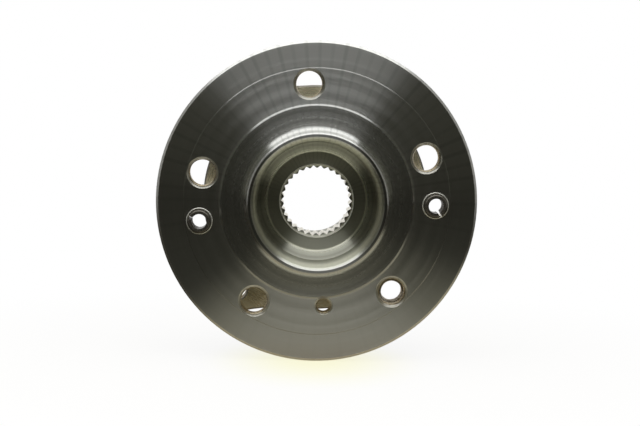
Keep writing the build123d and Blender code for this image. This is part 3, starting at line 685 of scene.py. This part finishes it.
def make_thread(name, centre, wall, mouth, pitch, front, back, phase):
    """A thread on the wall of a hole along Y, between two countersunk faces."""
    bm = bmesh.new()
    turns = (back - front) / pitch + 1.0
    steps = round(turns * STEPS_A_TURN)
    bmesh.ops.spin(bm, geom=ridge_section(bm, wall, pitch), cent=CENTRE, axis=SPIN_AXIS,
                   dvec=(0.0, pitch / STEPS_A_TURN, 0.0), angle=2 * pi * steps / STEPS_A_TURN, steps=steps)
    bmesh.ops.rotate(bm, verts=bm.verts, cent=CENTRE, matrix=Matrix.Rotation(phase, 3, "Y"))
    bmesh.ops.translate(bm, verts=bm.verts, vec=(0.0, front - pitch / 2, 0.0))
    for vert in bm.verts:
        vert.co.y = min(max(vert.co.y, front), back)
        radius = sqrt(vert.co.x ** 2 + vert.co.z ** 2)
        cone = mouth + SINK - min(vert.co.y - front, back - vert.co.y)
        grow = max(radius, min(cone, wall + SINK)) / radius
        vert.co.x *= grow
        vert.co.z *= grow
    bmesh.ops.translate(bm, verts=bm.verts, vec=(centre[0], 0.0, centre[1]))
    smooth_outside(bm)
    return new_piece(name, bm)


print("new pieces turn round", SPIN_AXIS, "while they are shaped")

# %% [markdown]
# A tapped wall is oily and catches dust, so it is warmer and duller than the face. Its marks run round the
# hole, and the shader's tangent already follows each wall, so the same turned look works with its own
# colour.


# %% Material: tapped wall
def make_thread_steel():
    material, tree, shader = new_material("tapped_steel", Metallic=1.0, Anisotropic=0.3)
    grain = use_group(tree, skin_grain, Size=0.9 * MM, Fineness=3.0)
    steel = blend_colours(tree, grain["Mottle"], (0.50, 0.42, 0.29), (0.74, 0.66, 0.50))
    put(tree, shader["Base Color"], steel)
    put(tree, shader["Roughness"], step_between(tree, grain["Mottle"], 0.3, 0.7, 0.24, 0.38))
    put(tree, shader["Tangent"], round_the_axis(tree))
    put(tree, shader["Normal"], bump(tree, grain["Height"], 0.006 * MM))
    return material


thread_steel = make_thread_steel()

# %% [markdown]
# ## Where the threads are
# Each tap is given by its wall and mouth radius and its pitch, and by the two faces it runs between. The
# hub's threads ride on the hub, so they turn with it; the ears' threads stay with the outer ring.


# %% Threads in the hub and in the ears
def spot(radius, degrees):
    """X and Z of a place at a radius and an angle from +X towards +Z."""
    return radius * cos(radians(degrees)), radius * sin(radians(degrees))


FIRST_BOLT = 94.7  # degrees from +X to the first wheel-bolt hole
BOLT_CIRCLE, SCREW_CIRCLE, EAR_CIRCLE = 56.0 * MM, 50.0 * MM, 59.7 * MM  # radii from the spin axis
HUB_FACES = (0.0, 10.5 * MM)  # front and back of the wheel flange, along Y
EAR_FACES = (29.5 * MM, 41.5 * MM)
EAR_LEAN = 50.0  # degrees from the X axis to each ear
MOUTH_GAP = 0.1 * MM  # the thread stops this short of each face
PHASE_STEP = 1.7  # radians; no two threads start at the same angle
WHEEL_BOLT = (6.5 * MM, 7.6 * MM, 1.5 * MM)  # wall radius, mouth radius, pitch
DISC_SCREW = (3.6 * MM, 4.35 * MM, 1.25 * MM)
KNUCKLE_BOLT = (5.5 * MM, 6.2 * MM, 1.5 * MM)
taps = [(f"wheel_bolt_thread_{k + 1}", spot(BOLT_CIRCLE, FIRST_BOLT + 72 * k), WHEEL_BOLT, HUB_FACES, "hub")
        for k in range(5)]
taps.append(("disc_screw_thread", spot(SCREW_CIRCLE, FIRST_BOLT + 180), DISC_SCREW, HUB_FACES, "hub"))
taps += [(f"knuckle_bolt_thread_{k + 1}", spot(EAR_CIRCLE, angle), KNUCKLE_BOLT, EAR_FACES, "bearing_outer")
         for k, angle in enumerate((EAR_LEAN, 180 - EAR_LEAN, 180 + EAR_LEAN, -EAR_LEAN))]
faces = 0
for number, (name, centre, size, (front, back), body) in enumerate(taps):
    thread = make_thread(name, centre, *size, front + MOUTH_GAP, back - MOUTH_GAP, number * PHASE_STEP)
    thread.data.materials.append(thread_steel)
    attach(thread, body)
    faces += len(thread.data.polygons)
print(len(taps), "threads,", faces, "faces in all")

# %% [markdown]
# ## Lips at the pressed and broached edges, with a painted highlight
# Pressing a sleeve into its hole pushes up a very thin lip at the hole's edge, and the broach that cuts the
# spline leaves one at the spline's mouth. They are too fine to show marks, so their steel has no direction.
# It is pale and a little rough, so that it catches light from every side; the pale colour paints the bright
# highlight line along these edges, so each lip is part burr, part painted highlight.


# %% Material: pale lip steel, a painted highlight
def make_highlight_lip_steel():
    material, tree, shader = new_material("pale_highlight_lip", Metallic=1.0)
    grain = use_group(tree, skin_grain, Size=0.9 * MM, Fineness=3.0)
    # pale steel, paler than the hub's: painted highlight along the edges
    steel = blend_colours(tree, grain["Mottle"], (0.86, 0.84, 0.77), (0.95, 0.94, 0.88))
    put(tree, shader["Base Color"], steel)
    put(tree, shader["Roughness"], step_between(tree, grain["Mottle"], 0.3, 0.7, 0.48, 0.62))
    return material


highlight_lip_steel = make_highlight_lip_steel()

# %% [markdown]
# A lip could be a bevel on the edge, but the edge belongs to a solid, which stays as it is. So each lip is
# a fine round wire, a small circle spun once round the hole and half sunk in the face.

# %% Lips round the sleeves and the spline
LIP_SIDES = 8
LIP_STEPS = 96


def make_lip(name, centre, face, radius, thickness):
    """A round wire in a circle, half sunk in the face at this place along Y."""
    bm = bmesh.new()
    bmesh.ops.create_circle(bm, segments=LIP_SIDES, radius=thickness / 2)
    bmesh.ops.translate(bm, verts=bm.verts, vec=(radius, 0.0, 0.0))
    bmesh.ops.spin(bm, geom=bm.verts[:] + bm.edges[:], cent=CENTRE, axis=SPIN_AXIS, angle=2 * pi,
                   steps=LIP_STEPS, use_merge=True)
    bmesh.ops.remove_doubles(bm, verts=bm.verts, dist=1e-7)
    bmesh.ops.translate(bm, verts=bm.verts, vec=(centre[0], face, centre[1]))
    smooth_outside(bm)
    return new_piece(name, bm)


SLEEVE_CIRCLE = 56.6 * MM
SLEEVE_LEAN = 95.6  # degrees from the first wheel-bolt hole to each sleeve
lips = (  # name, centre, place of the face along Y, radius, thickness
    ("sleeve_lip_left", spot(SLEEVE_CIRCLE, FIRST_BOLT + SLEEVE_LEAN), 0.0, 6.05 * MM, 0.6 * MM),
    ("sleeve_lip_right", spot(SLEEVE_CIRCLE, FIRST_BOLT - SLEEVE_LEAN), 0.0, 6.05 * MM, 0.6 * MM),
    ("spline_mouth_lip", (0.0, 0.0), 7.0 * MM, 17.6 * MM, 0.7 * MM))
for measures in lips:
    lip = make_lip(*measures)
    lip.data.materials.append(highlight_lip_steel)
    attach(lip, "hub")
    print(lip.name, "has", len(lip.data.polygons), "faces")

# %% [markdown]
# ## The studio
# The piece stands on white paper. A lamp bright enough to make the paper white would bleach the piece, so
# to the eye the paper glows by itself at a strength of one, which is plain white. It keeps only a share of
# a real paper under the piece, for a soft shadow, and a faint painted cream shadow right under it.

# %% Paper as the eye sees it
WHITE = (1.0, 1.0, 1.0)
PAPER = (0.90, 0.87, 0.80, 1.0)
SHADOW_REACH = (0.10, 0.32)  # metres from the middle; further out the paper is plain white
SHADOW_SHARE = 0.88  # how much of the shadow's place is still plain white
# the cream right under the piece is painted contact shadow
CREAM_SHADOW = (1.0, 0.985, 0.72)
CREAM_SHADOW_SIZE = (0.032, 0.05)  # metres to the sides, and to the front and back
CREAM_SHADOW_END = 1.8  # sizes from the middle, where the cream has turned white


def paper_to_the_eye(tree, place):
    """White paper with a faint shadow, and a painted cream shadow right under the piece."""
    ray = add(tree, "ShaderNodeLightPath").outputs
    seen = sums(tree, "MAXIMUM", ray["Is Camera Ray"], ray["Is Transmission Ray"])
    share = step_between(tree, vectors(tree, "LENGTH", place), *SHADOW_REACH, SHADOW_SHARE, 1.0)
    spread = vectors(tree, "MULTIPLY", place, (1 / CREAM_SHADOW_SIZE[0], 1 / CREAM_SHADOW_SIZE[1], 0.0))
    cream_shadow = step_between(tree, vectors(tree, "LENGTH", spread), 0.0, CREAM_SHADOW_END)
    colour = blend_colours(tree, cream_shadow, CREAM_SHADOW, WHITE)
    white = add(tree, "ShaderNodeEmission", {"Color": colour, "Strength": 1.0})
    paper = add(tree, "ShaderNodeBsdfDiffuse", {"Color": PAPER})
    mask = sums(tree, "MULTIPLY", seen, share)
    return add(tree, "ShaderNodeMixShader", {0: mask, 1: paper.outputs[0], 2: white.outputs[0]}).outputs[0]


print("paper is plain white past", SHADOW_REACH[1], "m")

# %% [markdown]
# Polished metal shows its surroundings more than its own colour. The Light Path node tells a ray from the
# metal apart from a ray from the eye, so the same floor can look different to each. In the metal it is a
# warm pool of light below the piece and in front of it, dark round the pool, and white behind the piece.

# %% Paper as the metal sees it
POOL_LEFT, POOL_RIGHT = (-0.10, -0.045), (0.10, 0.20)  # edges along X, each soft between two numbers
POOL_FRONT, POOL_SHADE = (-0.16, -0.07), (-0.035, -0.010)  # along Y: where it starts, and the piece's shade
BACK_PAPER = (0.10, 0.20)  # along Y
POOL_LEVEL, SHADE_LOSS, BARE_LEVEL = 0.53, 0.20, 0.03
POOL_COLOUR, SHADE_COLOUR = (0.99, 0.965, 0.76), (1.0, 0.84, 0.52)


def paper_to_the_metal(tree, split):
    """A warm pool of light before the piece and under it, dark round the pool, white behind the piece."""
    left = step_between(tree, split["X"], *POOL_LEFT)
    right = step_between(tree, split["X"], *POOL_RIGHT, 1.0, 0.0)
    front = step_between(tree, split["Y"], *POOL_FRONT)
    shaded = step_between(tree, split["Y"], *POOL_SHADE)
    behind = step_between(tree, split["Y"], *BACK_PAPER)
    inside = sums(tree, "MULTIPLY", sums(tree, "MULTIPLY", left, right), front)
    level = sums(tree, "MULTIPLY_ADD", shaded, -SHADE_LOSS, POOL_LEVEL)
    pool = sums(tree, "MAXIMUM", sums(tree, "MULTIPLY_ADD", inside, level, BARE_LEVEL), behind)
    colour = blend_colours(tree, shaded, POOL_COLOUR, SHADE_COLOUR)
    colour = blend_colours(tree, behind, colour, WHITE)
    return add(tree, "ShaderNodeEmission", {"Color": colour, "Strength": pool}).outputs[0]


print("pool of light from X =", POOL_LEFT[0], "to", POOL_RIGHT[1], "m")

# %% [markdown]
# The floor itself is a large round sheet that touches the lowest point of the solids.

# %% Floor
FLOOR = cad_low.z
FLOOR_RADIUS = 6.0


def make_floor():
    bm = bmesh.new()
    bmesh.ops.create_circle(bm, cap_ends=True, segments=96, radius=FLOOR_RADIUS)
    bmesh.ops.translate(bm, verts=bm.verts, vec=(0.0, 0.0, FLOOR))
    floor = new_piece("floor", bm)
    material = bpy.data.materials.new("white_floor")
    material.use_nodes = True
    tree = material.node_tree
    tree.nodes.clear()
    place, split = place_of(tree)
    glossy = add(tree, "ShaderNodeLightPath").outputs["Is Glossy Ray"]
    look = add(tree, "ShaderNodeMixShader", {
        0: glossy, 1: paper_to_the_eye(tree, place), 2: paper_to_the_metal(tree, split)})
    add(tree, "ShaderNodeOutputMaterial", {"Surface": look.outputs[0]})
    floor.data.materials.append(material)
    return floor


floor = make_floor()
print(floor.name, "at Z =", round(FLOOR / MM, 2), "mm,", round(2 * FLOOR_RADIUS), "m across")

# %% [markdown]
# The world lights the piece from all round and is the background. To the eye it is white. In the metal it
# is white behind the piece and nearly dark in front, with an olive tint, which gives turned faces their
# deep tone and keeps their edges bright. Light that only fills the shadows comes at less than half
# strength.

# %% World
EDGE_OF_FRONT = (-0.12, 0.12)  # Y of the direction, where dark turns to white
FRONT_LEVEL = 0.077
FRONT_TINT = (1.0, 1.0, 0.78)
FILL_LEVEL = 0.45


def make_world():
    world = bpy.data.worlds.new("studio")
    bpy.context.scene.world = world
    world.use_nodes = True
    tree = world.node_tree
    tree.nodes.clear()
    way = add(tree, "ShaderNodeTexCoord").outputs["Generated"]
    forward = add(tree, "ShaderNodeSeparateXYZ", {"Vector": way}).outputs["Y"]
    ray = add(tree, "ShaderNodeLightPath").outputs
    behind = step_between(tree, forward, *EDGE_OF_FRONT)
    backdrop = sums(tree, "MULTIPLY_ADD", behind, 1.0 - FRONT_LEVEL, FRONT_LEVEL)
    seen = sums(tree, "MAXIMUM", ray["Is Camera Ray"], ray["Is Transmission Ray"])
    direct = sums(tree, "MAXIMUM", seen, sums(tree, "MULTIPLY", ray["Is Glossy Ray"], backdrop))
    filling = sums(tree, "SUBTRACT", 1.0, sums(tree, "MAXIMUM", seen, ray["Is Glossy Ray"]))
    level = sums(tree, "MULTIPLY_ADD", filling, FILL_LEVEL, direct)
    plain = sums(tree, "MAXIMUM", behind, sums(tree, "SUBTRACT", 1.0, ray["Is Glossy Ray"]))
    colour = blend_colours(tree, plain, FRONT_TINT, WHITE)
    shade = add(tree, "ShaderNodeBackground", {"Color": colour, "Strength": level})
    add(tree, "ShaderNodeOutputWorld", {"Surface": shade.outputs[0]})
    return world


world = make_world()
print("world", world.name, "is", FRONT_LEVEL, "in front and 1.0 behind, as the metal sees it")

# %% [markdown]
# One large soft lamp hangs over the space in front of the piece. A small lamp would show in turned steel as
# a thin streak; a large one makes the broad fan of light on the upper half of the face and on the spigot's
# fillet.


# %% Softbox
def make_softbox(name, centre, target, width, depth, radiance, colour):
    """A soft rectangular lamp; its power follows from how bright its face is."""
    lamp = bpy.data.lights.new(name, "AREA")
    lamp.shape = "RECTANGLE"
    lamp.size, lamp.size_y = width, depth
    lamp.energy = radiance * pi * width * depth
    lamp.color = colour
    item = bpy.data.objects.new(name, lamp)
    item.location = centre
    item.visible_camera = False
    item.rotation_euler = (Vector(target) - Vector(centre)).to_track_quat("-Z", "Y").to_euler()
    bpy.context.scene.collection.objects.link(item)
    return item


softbox = make_softbox(
    "overhead_softbox", centre=(-0.06, -0.55, 0.6), target=(-0.06, -0.55, 0.0),
    width=1.0, depth=1.5, radiance=1.6, colour=(0.97, 0.985, 1.0))
print("lamp:", softbox.name, "of", round(softbox.data.energy, 1), "W")

# %% [markdown]
# ## The camera
# The hub is looked at almost square on, from a little above and a little to the left, with a long lens, so
# its circles stay round. The camera also leans by about one degree, as a camera held in the hand does.

# %% Camera
IMAGE_WIDTH = 640
SENSOR = 36.0
DISTANCE = 0.883
FOCAL_PIXELS = 1857.4  # focal length, in pixels of the render
ELEVATION, TURN, ROLL = radians(4.0), radians(1.25), radians(-1.1)
AIM = (3.15, -11.28)  # pixels right of the spin axis and up from it
PIXEL = DISTANCE / FOCAL_PIXELS
camera_data = bpy.data.cameras.new("camera")
camera_data.sensor_width = SENSOR
camera_data.lens = SENSOR * FOCAL_PIXELS / IMAGE_WIDTH
camera_data.clip_start, camera_data.clip_end = 0.01, 50.0
camera = bpy.data.objects.new("camera", camera_data)
camera.location = DISTANCE * Vector(
    (-sin(TURN) * cos(ELEVATION), -cos(TURN) * cos(ELEVATION), sin(ELEVATION)))
aim = Vector((AIM[0] * PIXEL, 0.0, AIM[1] * PIXEL))
look = (aim - camera.location).to_track_quat("-Z", "Y").to_matrix().to_4x4()
camera.matrix_world = Matrix.Rotation(ROLL, 4, "Y") @ Matrix.Translation(camera.location) @ look
bpy.context.scene.collection.objects.link(camera)
bpy.context.scene.camera = camera
bpy.context.scene.view_settings.view_transform = "Standard"
print("camera", DISTANCE, "m away, lens", round(camera_data.lens, 1), "mm")
